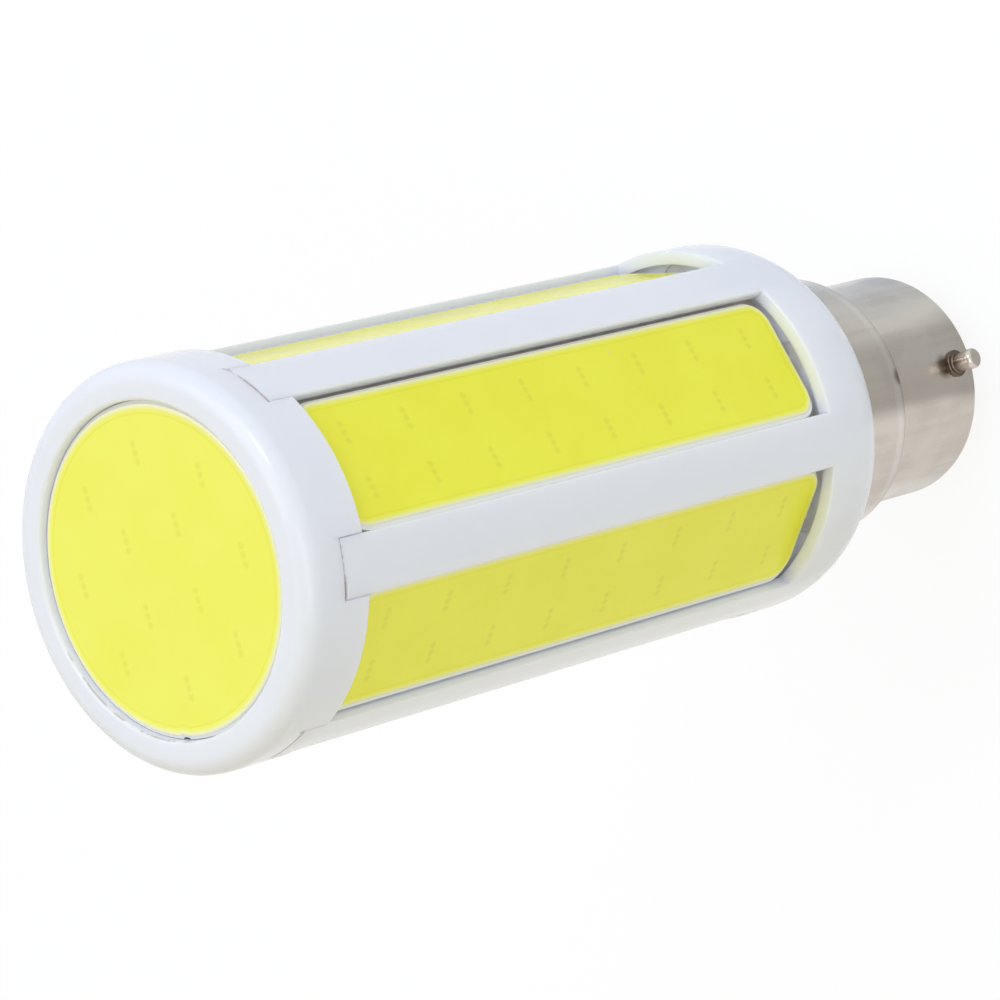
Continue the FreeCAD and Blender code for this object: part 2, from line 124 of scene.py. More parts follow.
def fingered_shell(name, path, half_width, ribs, tip_level, seat_level):
    """Shell turned along a path from its outer root to its inner root, with fingers that go on from the root.
    The fingers are ribs between the panels or tabs in front of them, with sides parallel to the panel.
    Beyond the seat level their edges are crisper."""
    edge_out = math.asin(half_width / path[0][0])
    edge_in = math.asin(half_width / path[-1][0])
    step = 2 * math.pi / PANELS
    columns = []
    for i in range(PANELS):
        panel = panel_turn + i * step
        for k in range(PANEL_COLUMNS):
            share = 2 * k / PANEL_COLUMNS - 1
            columns.append((panel + share * edge_out, panel + share * edge_in, not ribs))
        for k in range(RIB_COLUMNS):
            share = k / RIB_COLUMNS
            out = panel + edge_out + share * (step - 2 * edge_out)
            columns.append((out, panel + edge_in + share * (step - 2 * edge_in), ribs))
    count = len(columns)
    shell = bmesh.new()
    bevel = shell.edges.layers.float.new("bevel_weight_edge")
    seam = shell.verts.layers.float.new("seam")

    def point(k, radius, level, share):
        angle = columns[k][0] * (1 - share) + columns[k][1] * share
        return shell.verts.new((radius * math.cos(angle), radius * math.sin(angle), level))

    def soften(a, b, share=1.0):
        shell.edges.get((a, b))[bevel] = share

    last = len(path) - 1
    rows = [[point(k, r, z, i / last) for k in range(count)] for i, (r, z) in enumerate(path)]
    for low, high in zip(rows, rows[1:]):
        for k in range(count):
            shell.faces.new((low[k - 1], low[k], high[k], high[k - 1]))
    outer = rows[0]
    inner = rows[-1]
    for k in range(count):
        after = (k + 1) % count
        if not columns[k][2]:
            shell.faces.new((outer[k], outer[after], inner[after], inner[k]))
            soften(outer[k], outer[after])
            for root in (outer[k], outer[after], inner[k], inner[after]):
                root[seam] = float(not ribs)

    root_level = path[0][1]
    for row in range(1, RIB_ROWS + 1):
        level = root_level + (tip_level - root_level) * row / RIB_ROWS
        used = [k for k in range(count) if columns[k][2] or columns[k - 1][2]]
        next_outer = {k: point(k, path[0][0], level, 0) for k in used}
        next_inner = {k: point(k, path[-1][0], level, 1) for k in used}
        for k in used:
            after = (k + 1) % count
            if columns[k][2]:
                shell.faces.new((outer[k], outer[after], next_outer[after], next_outer[k]))
                shell.faces.new((inner[k], inner[after], next_inner[after], next_inner[k]))
            if columns[k][2] != columns[k - 1][2]:
                shell.faces.new((outer[k], next_outer[k], next_inner[k], inner[k]))
                soften(outer[k], next_outer[k], CRISP_SHARE if level > seat_level else 1.0)
            if columns[k][2] and row == RIB_ROWS:
                shell.faces.new((next_outer[k], next_outer[after], next_inner[after], next_inner[k]))
                soften(next_outer[k], next_outer[after], CRISP_SHARE)
                for tip in (next_outer[k], next_outer[after], next_inner[k], next_inner[after]):
                    tip[seam] = float(ribs)
        outer = next_outer
        inner = next_inner
    return made_piece(name, shell)


def made_piece(name, shape):
    """Scene object from a mesh in the making, with every face turned outward."""
    bmesh.ops.recalc_face_normals(shape, faces=shape.faces)
    mesh = bpy.data.meshes.new(name)
    shape.to_mesh(mesh)
    shape.free()
    piece = bpy.data.objects.new(name, mesh)
    bpy.context.scene.collection.objects.link(piece)
    return piece


def settle(piece, sharp=SHARP_ANGLE):
    """Turns the piece's modifiers into its mesh and shades it smooth up to a sharp angle."""
    bpy.context.view_layer.update()
    graph = bpy.context.evaluated_depsgraph_get()
    mesh = bpy.data.meshes.new_from_object(
        piece.evaluated_get(graph), preserve_all_data_layers=True, depsgraph=graph,
    )
    mesh.name = piece.name
    piece.modifiers.clear()
    piece.data = mesh
    mesh.polygons.foreach_set("use_smooth", [True] * len(mesh.polygons))
    mesh.set_sharp_from_angle(angle=math.radians(sharp))


def soft_edges(piece, width):
    """Rounds the edges that carry a bevel weight."""
    bevel = piece.modifiers.new("edge_round", "BEVEL")
    bevel.limit_method = "WEIGHT"
    bevel.width = width
    bevel.segments = BEVEL_STEPS


def drilled(piece, drill):
    """Cuts a drill body out of the piece and removes the drill."""
    cut = piece.modifiers.new("drilled", "BOOLEAN")
    cut.operation = "DIFFERENCE"
    cut.solver = "EXACT"
    cut.object = drill
    settle(piece)
    bpy.data.objects.remove(drill)


def add(tree, kind, inputs=None, **settings):
    """One shader node: settings are its own properties, inputs are plain values or other nodes' sockets."""
    made = tree.nodes.new("ShaderNode" + kind)
    for key, value in settings.items():
        setattr(made, key, value)
    for key, value in (inputs or {}).items():
        if isinstance(value, bpy.types.NodeSocket):
            tree.links.new(value, made.inputs[key])
        else:
            made.inputs[key].default_value = value
    return made


def calc(tree, operation, *values, clamp=False):
    """Result of one sum on sockets or numbers."""
    return add(tree, "Math", dict(enumerate(values)), operation=operation, use_clamp=clamp).outputs[0]


def fade(tree, value, start, end, low=0.0, high=1.0):
    """Smooth change from low to high as a value goes from start to end."""
    inputs = {"Value": value, "From Min": start, "From Max": end, "To Min": low, "To Max": high}
    return add(tree, "MapRange", inputs, interpolation_type="SMOOTHSTEP").outputs["Result"]


def blend(tree, share, first, second):
    """Colour that goes from the first to the second with the share."""
    made = add(tree, "Mix", data_type="RGBA")
    for index, value in ((0, share), (6, first), (7, second)):
        if isinstance(value, bpy.types.NodeSocket):
            tree.links.new(value, made.inputs[index])
        else:
            made.inputs[index].default_value = value
    return made.outputs[2]


def effect(name, inputs, outputs):
    """Empty shader group with named inputs (name, kind, default) and outputs (name, kind)."""
    tree = bpy.data.node_groups.new(name, "ShaderNodeTree")
    for label, kind, default in inputs:
        socket = tree.interface.new_socket(label, in_out="INPUT", socket_type="NodeSocket" + kind)
        if default is not None:
            socket.default_value = default
    for label, kind in outputs:
        tree.interface.new_socket(label, in_out="OUTPUT", socket_type="NodeSocket" + kind)
    return tree, add_end(tree, "NodeGroupInput"), add_end(tree, "NodeGroupOutput")


def add_end(tree, kind):
    """The input or output end of a shader group."""
    return tree.nodes.new(kind)


def use(tree, group, **inputs):
    """Places a shader group in a material."""
    placed = tree.nodes.new("ShaderNodeGroup")
    placed.node_tree = group
    for key, value in inputs.items():
        if isinstance(value, bpy.types.NodeSocket):
            tree.links.new(value, placed.inputs[key])
        else:
            placed.inputs[key].default_value = value
    return placed


def new_finish(name):
    """Material with a bare surface shader: its node tree, the shader and the place on the piece."""
    material = bpy.data.materials.new(name)
    material.use_nodes = True
    tree = material.node_tree
    tree.nodes.clear()
    shader = add(tree, "BsdfPrincipled")
    add(tree, "OutputMaterial", {"Surface": shader.outputs["BSDF"]})
    return material, tree, shader, add(tree, "TexCoord").outputs["Object"]


# Slow change of tone over a moulding or plating, from 0 to 1
mottle, ends, out = effect(
    "mottle",
    [("Place", "Vector", None), ("Scale", "Float", 100.0)],
    [("Tone", "Float")],
)
cloud_inputs = {"Vector": ends.outputs["Place"], "Scale": ends.outputs["Scale"], "Detail": MOTTLE_DETAIL}
cloud = add(mottle, "TexNoise", cloud_inputs)
mottle.links.new(fade(mottle, cloud.outputs["Fac"], *MOTTLE_SPREAD), out.inputs["Tone"])

# Fine grain of a moulded or plated surface, as a height
grain, ends, out = effect(
    "grain",
    [("Place", "Vector", None), ("Scale", "Float", 4000.0)],
    [("Height", "Float")],
)
fine_inputs = {"Vector": ends.outputs["Place"], "Scale": ends.outputs["Scale"], "Detail": GRAIN_DETAIL}
fine = add(grain, "TexNoise", fine_inputs)
grain.links.new(fine.outputs["Fac"], out.inputs["Height"])

# Scattered specks of dust: a share of the cells holds one small dot each
specks, ends, out = effect(
    "specks",
    [("Place", "Vector", None), ("Scale", "Float", 500.0), ("Share", "Float", 0.02), ("Size", "Float", 0.2)],
    [("Mask", "Float")],
)
cells = add(specks, "TexVoronoi", {"Vector": ends.outputs["Place"], "Scale": ends.outputs["Scale"]})
draw = add(specks, "SeparateColor", {"Color": cells.outputs["Color"]})
chosen = calc(specks, "LESS_THAN", draw.outputs["Red"], ends.outputs["Share"])
dot = calc(specks, "LESS_THAN", cells.outputs["Distance"], ends.outputs["Size"])
specks.links.new(calc(specks, "MULTIPLY", chosen, dot), out.inputs["Mask"])


def white_plastic(name, stain=None):
    """Satin white moulding that lets some light through.
    It has dust specks, and brown dirt where the rib tips meet the ring."""
    material, tree, shader, place = new_finish(name)
    shader.inputs["Subsurface Weight"].default_value = PLASTIC_GLOW
    shader.inputs["Subsurface Radius"].default_value = (1.0, 1.0, 1.0)
    shader.inputs["Subsurface Scale"].default_value = PLASTIC_DEPTH
    tone = use(tree, mottle, Place=place, Scale=PLASTIC_TONE_SCALE).outputs["Tone"]
    colour = blend(tree, tone, PLASTIC_SHADE, PLASTIC_WHITE)
    near_seam = add(tree, "Attribute", attribute_name="seam").outputs["Fac"]
    patch = use(tree, mottle, Place=place, Scale=DIRT_SCALE).outputs["Tone"]
    patch = fade(tree, patch, *DIRT_SPREAD, *DIRT_STRENGTH)
    dirt = calc(tree, "MULTIPLY", patch, fade(tree, near_seam, *SEAM_REACH))
    dust = use(tree, specks, Place=place, **DUST_SPECKS).outputs["Mask"]
    dirt = calc(tree, "MAXIMUM", dirt, calc(tree, "MULTIPLY", dust, DUST_STRENGTH))
    if stain:
        dirt = calc(tree, "MAXIMUM", dirt, stain(tree, place))
    tree.links.new(blend(tree, dirt, colour, SEAM_DIRT), shader.inputs["Base Color"])
    tree.links.new(fade(tree, tone, 0.0, 1.0, *PLASTIC_ROUGHNESS), shader.inputs["Roughness"])
    height = use(tree, grain, Place=place, Scale=PLASTIC_GRAIN_SCALE).outputs["Height"]
    bump_inputs = {"Height": height, "Strength": PLASTIC_GRAIN_STRENGTH, "Distance": GRAIN_HEIGHT}
    bump = add(tree, "Bump", bump_inputs)
    tree.links.new(bump.outputs["Normal"], shader.inputs["Normal"])
    return material


cage_low, cage_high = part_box("rib_cage")
board_low, board_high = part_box("side_board_1")
board_middle = (board_low + board_high) / 2
panel_turn = math.atan2(board_middle.y, board_middle.x)
body_radius = cage_high.x
cage_bore = body_radius - CAGE_WALL
window_level = board_low.z - BOARD_REAR_GAP
housing_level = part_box("cap_shell")[1].z
bulkhead_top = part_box("heat_sink")[0].z
bulkhead_base = bulkhead_top - BULKHEAD_THICKNESS
neck_bore = NECK_RADIUS - CAGE_WALL
cage_path = rounded([
    (body_radius, window_level, 0),
    (body_radius, housing_level, HOUSING_ROUND),
    (NECK_RADIUS, housing_level, 0),
    (NECK_RADIUS, cage_low.z, 0),
    (neck_bore, cage_low.z, 0),
    (neck_bore, housing_level + CAGE_WALL, 0),
    (cage_bore, housing_level + CAGE_WALL, HOUSING_ROUND - CAGE_WALL),
    (cage_bore, bulkhead_base, 0),
    (BULKHEAD_BORE, bulkhead_base, 0),
    (BULKHEAD_BORE, bulkhead_top, 0),
    (cage_bore, bulkhead_top, 0),
    (cage_bore, window_level, 0),
], steps=HOUSING_STEPS)
skirt_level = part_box("front_ring")[0].z
rib_cage = fingered_shell("rib_cage_moulding", cage_path, WINDOW_WIDTH / 2, True, cage_high.z, skirt_level)
soft_edges(rib_cage, EDGE_ROUND)

wire_circle = board_middle.xy.length
drill_level = bulkhead_top - BULKHEAD_THICKNESS / 2
drill_bits = bmesh.new()
for i in range(PANELS):
    angle = panel_turn + i * 2 * math.pi / PANELS
    centre = Vector((wire_circle * math.cos(angle), wire_circle * math.sin(angle), drill_level))
    bmesh.ops.create_cone(
        drill_bits, cap_ends=True, segments=HOLE_SEGMENTS,
        radius1=WIRE_HOLE_RADIUS, radius2=WIRE_HOLE_RADIUS,
        depth=DRILL_LENGTH, matrix=Matrix.Translation(centre),
    )
drilled(rib_cage, made_piece("wire_drill", drill_bits))
rib_cage.data.materials.append(white_plastic("cage_plastic"))
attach(rib_cage, "root")
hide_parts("rib_cage")

# Cap shell
# Drawn brass sheet with satin nickel plating: a collar over the housing's neck, a shoulder and the barrel.
# The barrel's end is rolled in to hold the insulator.
CAP_SEGMENTS = 192
CAP_METAL = 0.4 * MM
BARREL_RADIUS = 11.0 * MM
RIM_LEVEL = 17.0 * MM
SHOULDER_DROP = 0.6 * MM
SHELL_END = 2.6 * MM
CAP_END_BORE = 8.8 * MM
RIM_ROUND = 0.5 * MM
BARREL_END_ROUND = 1.4 * MM
NICKEL = (0.665, 0.608, 0.55, 1.0)
NICKEL_SHADE = (0.58, 0.525, 0.47, 1.0)
# Lighter metal for painted highlights.
HIGHLIGHT_METAL = (0.76, 0.74, 0.71, 1.0)
# Dark brown for tarnish specks, and for painted shade and reflections.
TARNISH_AND_SHADE = (0.16, 0.12, 0.09, 1.0)
RIM_SPOT_TURN = 0.5
RIM_SPOT_RADIUS = 1.2 * MM
RIM_SPOT_STRENGTH = 0.8
# Painted shadow: a dark line round the rim, for the shade under the collar's edge.
RIM_SHADOW_LEVEL = 17.1 * MM
RIM_SHADOW_WIDTH = 0.25 * MM
RIM_SHADOW_STRENGTH = 0.4
# Painted highlight: a lighter band round the collar above the rim.
RIM_HIGHLIGHT_LEVEL = 17.9 * MM
RIM_HIGHLIGHT_WIDTH = 0.75 * MM
RIM_HIGHLIGHT_STRENGTH = 0.4
# Painted reflection and contact shadow of the pin: a dark patch on the barrel above it.
PIN_REFLECTION_RADIUS = 1.5 * MM
PIN_REFLECTION_STRENGTH = 0.9
NICKEL_ROUGHNESS = (0.22, 0.30)
NICKEL_STRETCH = 0.2
NICKEL_TONE_SCALE = 160.0
BRUSH_DIRECTION = (1.0, 1.0, 0.05)
BRUSH_SCALE = 700.0
BRUSH_SHARE = 0.7
TONE_SHARE = 0.3
STREAK_SPREAD = (0.3, 0.75)
STAIN_SPECKS = {"Scale": 900.0, "Share": 0.01, "Size": 0.14}
STAIN_PATCH_SCALE = 90.0
STAIN_PATCH_SPREAD = (0.7, 0.95)
STAIN_STRENGTH = 0.7
ON_AXIS = 1e-9


def lathe(name, profile, segments, axis="Z"):
    """Closed profile of radius and height turned about the axis. A point on the axis closes the end."""
    shape = bmesh.new()
    rings = []
    for radius, level in profile:
        if radius < ON_AXIS:
            rings.append([shape.verts.new((0, 0, level))] * segments)
            continue
        turns = [2 * math.pi * k / segments for k in range(segments)]
        rings.append([shape.verts.new((radius * math.cos(t), radius * math.sin(t), level)) for t in turns])
    for i, ring in enumerate(rings):
        before = rings[i - 1]
        for k in range(segments):
            corners = list(dict.fromkeys((before[k - 1], before[k], ring[k], ring[k - 1])))
            if len(corners) > 2:
                shape.faces.new(corners)
    if axis == "X":
        bmesh.ops.rotate(shape, verts=shape.verts, matrix=Matrix.Rotation(math.pi / 2, 3, "Y"))
    piece = made_piece(name, shape)
    settle(piece)
    return piece


def nickel(name, low, high, marks_and_light):
    """Nickel plate brushed along the axis, between two roughnesses, with brown specks.
    The last argument gives a mask of darkening, partly tarnish and partly painted shade and reflection, and a
    mask of painted highlight."""
    material, tree, shader, place = new_finish(name)
    shader.inputs["Metallic"].default_value = 1.0
    shader.inputs["Anisotropic"].default_value = NICKEL_STRETCH
    tone = use(tree, mottle, Place=place, Scale=NICKEL_TONE_SCALE).outputs["Tone"]
    along = add(tree, "VectorMath", {0: place, 1: BRUSH_DIRECTION}, operation="MULTIPLY").outputs["Vector"]
    brush = use(tree, grain, Place=along, Scale=BRUSH_SCALE).outputs["Height"]
    brushed = calc(tree, "MULTIPLY", brush, BRUSH_SHARE)
    toned = calc(tree, "MULTIPLY", tone, TONE_SHARE)
    streak = fade(tree, calc(tree, "ADD", brushed, toned), *STREAK_SPREAD)
    colour = blend(tree, streak, NICKEL, NICKEL_SHADE)
    dust = use(tree, specks, Place=place, **STAIN_SPECKS).outputs["Mask"]
    patch = use(tree, mottle, Place=place, Scale=STAIN_PATCH_SCALE).outputs["Tone"]
    stain = calc(tree, "MULTIPLY", dust, fade(tree, patch, *STAIN_PATCH_SPREAD))
    stain = calc(tree, "MULTIPLY", stain, STAIN_STRENGTH)
    # Darkening, partly painted shade and reflection, and painted highlight, mixed into the colour.
    darkening, painted_highlight = marks_and_light(tree, place)
    colour = blend(tree, painted_highlight, colour, HIGHLIGHT_METAL)
    colour = blend(tree, calc(tree, "MAXIMUM", stain, darkening), colour, TARNISH_AND_SHADE)
    tree.links.new(colour, shader.inputs["Base Color"])
    tree.links.new(fade(tree, streak, 0.0, 1.0, low, high), shader.inputs["Roughness"])
    tangent = add(tree, "Tangent", direction_type="RADIAL", axis="Z")
    tree.links.new(tangent.outputs["Tangent"], shader.inputs["Tangent"])
    return material


def cap_marks_and_painted_light(tree, place):
    """Darker spot on the rim, painted shadow in a line round the rim, and a painted reflection and contact
    shadow of the pin on the barrel above it.
    A painted highlight band runs round the collar above the rim."""
    away = add(tree, "VectorMath", {0: place, 1: rim_spot}, operation="DISTANCE").outputs["Value"]
    darkening = fade(tree, away, RIM_SPOT_RADIUS, RIM_SPOT_RADIUS / 3, 0.0, RIM_SPOT_STRENGTH)
    # Painted reflection and contact shadow of the pin on the barrel.
    away = add(tree, "VectorMath", {0: place, 1: pin_reflection_spot}, operation="DISTANCE").outputs["Value"]
    pin_reflection = fade(tree, away, PIN_REFLECTION_RADIUS, PIN_REFLECTION_RADIUS / 3, 0.0, PIN_REFLECTION_STRENGTH)
    level = add(tree, "SeparateXYZ", {"Vector": place}).outputs["Z"]
    # Painted shadow in a line round the rim.
    off_line = calc(tree, "ABSOLUTE", calc(tree, "SUBTRACT", level, RIM_SHADOW_LEVEL))
    line = fade(tree, off_line, RIM_SHADOW_WIDTH, RIM_SHADOW_WIDTH / 2, 0.0, RIM_SHADOW_STRENGTH)
    # Painted highlight in a band above the rim.
    off_band = calc(tree, "ABSOLUTE", calc(tree, "SUBTRACT", level, RIM_HIGHLIGHT_LEVEL))
    painted_highlight = fade(tree, off_band, RIM_HIGHLIGHT_WIDTH, 0.0, 0.0, RIM_HIGHLIGHT_STRENGTH)
    return calc(tree, "MAXIMUM", line, calc(tree, "MAXIMUM", darkening, pin_reflection)), painted_highlight


collar_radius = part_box("cap_shell")[1].x
cap_profile = rounded([
    (collar_radius, housing_level, 0),
    (collar_radius, RIM_LEVEL, RIM_ROUND),
    (BARREL_RADIUS, RIM_LEVEL - SHOULDER_DROP, 0),
    (BARREL_RADIUS, SHELL_END, BARREL_END_ROUND),
    (CAP_END_BORE, SHELL_END, 0),
    (CAP_END_BORE, SHELL_END + CAP_METAL, 0),
    (BARREL_RADIUS - CAP_METAL, SHELL_END + CAP_METAL, BARREL_END_ROUND - CAP_METAL),
    (BARREL_RADIUS - CAP_METAL, RIM_LEVEL - SHOULDER_DROP + CAP_METAL, 0),
    (collar_radius - CAP_METAL, RIM_LEVEL + CAP_METAL, 0),
    (collar_radius - CAP_METAL, housing_level, 0),
])
cap_shell = lathe("cap_shell_drawn", cap_profile, CAP_SEGMENTS)
spot_angle = math.radians(RIM_SPOT_TURN)
rim_spot = (collar_radius * math.cos(spot_angle), collar_radius * math.sin(spot_angle), RIM_LEVEL)
# Centre of the painted reflection and contact shadow of the pin.
pin_reflection_spot = (BARREL_RADIUS, 0.0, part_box("bayonet_pin_1")[1].z + PIN_REFLECTION_RADIUS / 3)
cap_shell.data.materials.append(nickel("satin_nickel", *NICKEL_ROUGHNESS, cap_marks_and_painted_light))
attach(cap_shell, "root")
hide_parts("cap_shell")

# Bayonet pins
# Two nickel-plated pins riveted through the barrel, each with a round flange at its foot
# and a smooth, rounded head. They lock in the J slots of the lamp holder.
PIN_SEGMENTS = 64
PIN_RADIUS = 1.0 * MM
PIN_WAIST_RADIUS = 0.9 * MM
PIN_HEAD_LENGTH = 0.85 * MM
PIN_HEAD_ROUND = 0.08 * MM
PIN_FOOT = 10.8 * MM
PIN_FLANGE_RADIUS = 1.35 * MM
PIN_FLANGE_OUT = 11.25 * MM
PIN_FLANGE_ROUND = 0.12 * MM
PIN_BASE_ROUND = 0.2 * MM
PIN_TIP_ROUND = 0.45 * MM
# Pin darkening near the flange: painted shade and dark reflection, with some tarnish.
PIN_SHADE_LENGTH = 1.7 * MM
PIN_SHADE_STRENGTH = 0.95
# Faint painted highlight on the pin's head.
PIN_BRIGHT_LENGTH = 1.6 * PIN_SHADE_LENGTH
PIN_BRIGHT_STRENGTH = 0.1
PIN_ROUGHNESS = (0.20, 0.28)


def pin_shade_and_highlight(tree, place):
    """Brown darkening that thins out from the flange towards the head, partly tarnish and partly painted shade
    and dark reflection, and a faint painted highlight on the head.
    """
    out = add(tree, "SeparateXYZ", {"Vector": place}).outputs["X"]
    shade_end = PIN_FLANGE_OUT + PIN_SHADE_LENGTH
    # Painted shade and dark reflection near the flange, with some tarnish.
    darkening = fade(tree, out, shade_end, PIN_FLANGE_OUT, 0.0, PIN_SHADE_STRENGTH)
    # Faint painted highlight on the head.
    painted_highlight = fade(tree, out, shade_end, PIN_FLANGE_OUT + PIN_BRIGHT_LENGTH, 0.0, PIN_BRIGHT_STRENGTH)
    return darkening, painted_highlight


pin_finish = nickel("pin_nickel", *PIN_ROUGHNESS, pin_shade_and_highlight)
for number in (1, 2):
    pin_low, pin_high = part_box(f"bayonet_pin_{number}")
    pin_tip = max(abs(pin_low.x), pin_high.x)
    pin_profile = rounded([
        (0, PIN_FOOT, 0),
        (PIN_FLANGE_RADIUS, PIN_FOOT, 0),
        (PIN_FLANGE_RADIUS, PIN_FLANGE_OUT, PIN_FLANGE_ROUND),
        (PIN_WAIST_RADIUS, PIN_FLANGE_OUT, PIN_BASE_ROUND),
        (PIN_WAIST_RADIUS, pin_tip - PIN_HEAD_LENGTH, 0),
        (PIN_RADIUS, pin_tip - PIN_HEAD_LENGTH, PIN_HEAD_ROUND),
        (PIN_RADIUS, pin_tip, PIN_TIP_ROUND),
        (0, pin_tip, 0),
    ])
    pin = lathe(f"bayonet_pin_turned_{number}", pin_profile, PIN_SEGMENTS, axis="X")
    pin.rotation_euler.z = 0 if pin_high.x > 0 else math.pi
    pin.location.z = (pin_low.z + pin_high.z) / 2
    pin.data.materials.append(pin_finish)
    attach(pin, "root")
    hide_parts(f"bayonet_pin_{number}")

# Insulator and contacts
# Black moulded insulator in the barrel's end, with two domed brass contacts soldered to the mains leads.
# The contacts press on the lamp holder's plungers.
INSULATOR_BLACK = (0.028, 0.026, 0.026, 1.0)
INSULATOR_GREY = (0.05, 0.047, 0.045, 1.0)
BRASS = (0.72, 0.56, 0.30, 1.0)
SOLDER = (0.58, 0.57, 0.54, 1.0)
LEAD_WHITE = (0.84, 0.83, 0.81, 1.0)
LEAD_GREY = (0.76, 0.75, 0.73, 1.0)
ROUGHNESS_SPREAD = 1.3
FINISH_GRAIN_STRENGTH = 0.15


def plain_finish(name, first, second, roughness, tone_scale, grain_scale, metallic=0.0):
    """Finish that wanders between two near colours, with a fine grain."""
    material, tree, shader, place = new_finish(name)
    shader.inputs["Metallic"].default_value = metallic
    tone = use(tree, mottle, Place=place, Scale=tone_scale).outputs["Tone"]
    tree.links.new(blend(tree, tone, first, second), shader.inputs["Base Color"])
    rough = fade(tree, tone, 0.0, 1.0, roughness, roughness * ROUGHNESS_SPREAD)
    tree.links.new(rough, shader.inputs["Roughness"])
    height = use(tree, grain, Place=place, Scale=grain_scale).outputs["Height"]
    bump_inputs = {"Height": height, "Strength": FINISH_GRAIN_STRENGTH, "Distance": GRAIN_HEIGHT}
    bump = add(tree, "Bump", bump_inputs)
    tree.links.new(bump.outputs["Normal"], shader.inputs["Normal"])
    return material


def coat_nodes(material, *names):
    """Gives solids of the frame their finish."""
    for name in names:
        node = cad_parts[name]
        for place in node.material_slots:
            place.material = material


insulator_finish = plain_finish(
    "black_insulator", INSULATOR_BLACK, INSULATOR_GREY,
    roughness=0.3, tone_scale=300.0, grain_scale=1500.0,
)
coat_nodes(insulator_finish, "cap_insulator")
contact_finish = plain_finish(
    "soldered_brass", BRASS, SOLDER,
    roughness=0.25, tone_scale=500.0, grain_scale=1200.0, metallic=1.0,
)
coat_nodes(contact_finish, "cap_contact_1", "cap_contact_2")
lead_finish = plain_finish(
    "lead_insulation", LEAD_WHITE, LEAD_GREY,
    roughness=0.45, tone_scale=400.0, grain_scale=2000.0,
)
coat_nodes(lead_finish, "mains_lead_1", "mains_lead_2", "board_harness", "end_board_lead")

# Wire seals
# White silicone plugs in the bulkhead's six holes, poured round the wires to the side boards.
# They hold the wires still where these leave the housing.
SILICONE_WHITE = (0.84, 0.84, 0.82, 1.0)
SILICONE_GREY = (0.74, 0.73, 0.71, 1.0)

seal_finish = plain_finish(
    "white_silicone", SILICONE_WHITE, SILICONE_GREY,
    roughness=0.4, tone_scale=700.0, grain_scale=2500.0,
)
coat_nodes(seal_finish, "wire_seals")

# Driver
# Small mains driver on a green laminate board that slides into rails in the neck, with its capacitor,
# inductor, rectifier and fuse resistor. It is closed in by the cap and the housing.
LAMINATE_GREEN = (0.05, 0.20, 0.08, 1.0)
LAMINATE_DARK = (0.035, 0.15, 0.06, 1.0)
SLEEVE_BLACK = (0.02, 0.02, 0.025, 1.0)
SLEEVE_GREY = (0.04, 0.04, 0.045, 1.0)
FERRITE = (0.06, 0.055, 0.05, 1.0)
COPPER_BROWN = (0.22, 0.10, 0.05, 1.0)
CERAMIC_GREEN = (0.12, 0.22, 0.17, 1.0)
CERAMIC_PALE = (0.17, 0.27, 0.21, 1.0)

laminate_finish = plain_finish(
    "green_laminate", LAMINATE_GREEN, LAMINATE_DARK,
    roughness=0.4, tone_scale=600.0, grain_scale=3000.0,
)
coat_nodes(laminate_finish, "driver_board")
sleeve_finish = plain_finish(
    "black_sleeve", SLEEVE_BLACK, SLEEVE_GREY,
    roughness=0.35, tone_scale=400.0, grain_scale=2500.0,
)
coat_nodes(sleeve_finish, "capacitor", "rectifier")
ferrite_finish = plain_finish(
    "wound_ferrite", FERRITE, COPPER_BROWN,
    roughness=0.5, tone_scale=1500.0, grain_scale=3000.0,
)
coat_nodes(ferrite_finish, "inductor")
ceramic_finish = plain_finish(
    "coated_ceramic", CERAMIC_GREEN, CERAMIC_PALE,
    roughness=0.45, tone_scale=500.0, grain_scale=2500.0,
)
coat_nodes(ceramic_finish, "fuse_resistor")

# Heat sink
# Six-sided tube of extruded aluminium that stands on the bulkhead and carries the side boards.
# A strip of it shows in the gaps beside the boards.
ALUMINIUM = (0.92, 0.83, 0.73, 1.0)
ALUMINIUM_DULL = (0.80, 0.70, 0.59, 1.0)

sink_finish = plain_finish(
    "extruded_aluminium", ALUMINIUM, ALUMINIUM_DULL,
    roughness=0.5, tone_scale=700.0, grain_scale=3000.0, metallic=0.4,
)
coat_nodes(sink_finish, "heat_sink")

# Side light boards
# Aluminium boards with white solder mask, bonded flat on the heat sink behind each window.
# Their narrow white border shows round the phosphor.
MASK_WHITE = (0.93, 0.93, 0.92, 1.0)
MASK_SHADE = (0.89, 0.89, 0.87, 1.0)
SIDES = range(1, PANELS + 1)

mask_finish = plain_finish(
    "white_solder_mask", MASK_WHITE, MASK_SHADE,
    roughness=0.35, tone_scale=500.0, grain_scale=2500.0,
)
coat_nodes(mask_finish, *[f"side_board_{i}" for i in SIDES])

# Side phosphor coats and chips
# Lemon yellow silicone poured over two lines of eight chips, held in by a pale bead of silicone at the border.
# A thin foot seals the bead to the board. Each chip shows through as three faint dots.
COAT_BEAD = 0.95 * MM
COAT_SINK = 0.05 * MM
COAT_EDGE = 0.2 * MM
COAT_FOOT = ((0.18, 0.0), (0.18, 0.03), (0.11, 0.06), (0.04, 0.10))
COAT_SPILL = 0.7
FOOT_LIFT = 0.24 * MM
COAT_CORNER = 2.4 * MM
LEAST_CORNER = 0.1 * MM
CORNER_STEPS = 10
EDGE_STEPS = 6
BEAD_STEPS = 8
FILL_INSET = COAT_BEAD * 1.5
COAT_SHARP_ANGLE = 50.0
ROW_OFFSET = 2.65 * MM
CHIP_MARGIN = 4.55 * MM
CHIPS_PER_ROW = 8
DOT_STEP = 0.78 * MM
DOT_RADIUS = 0.30 * MM
DOT_FADE = (DOT_RADIUS * 1.6, DOT_RADIUS * 0.5)
DOT_STRENGTH = 0.19
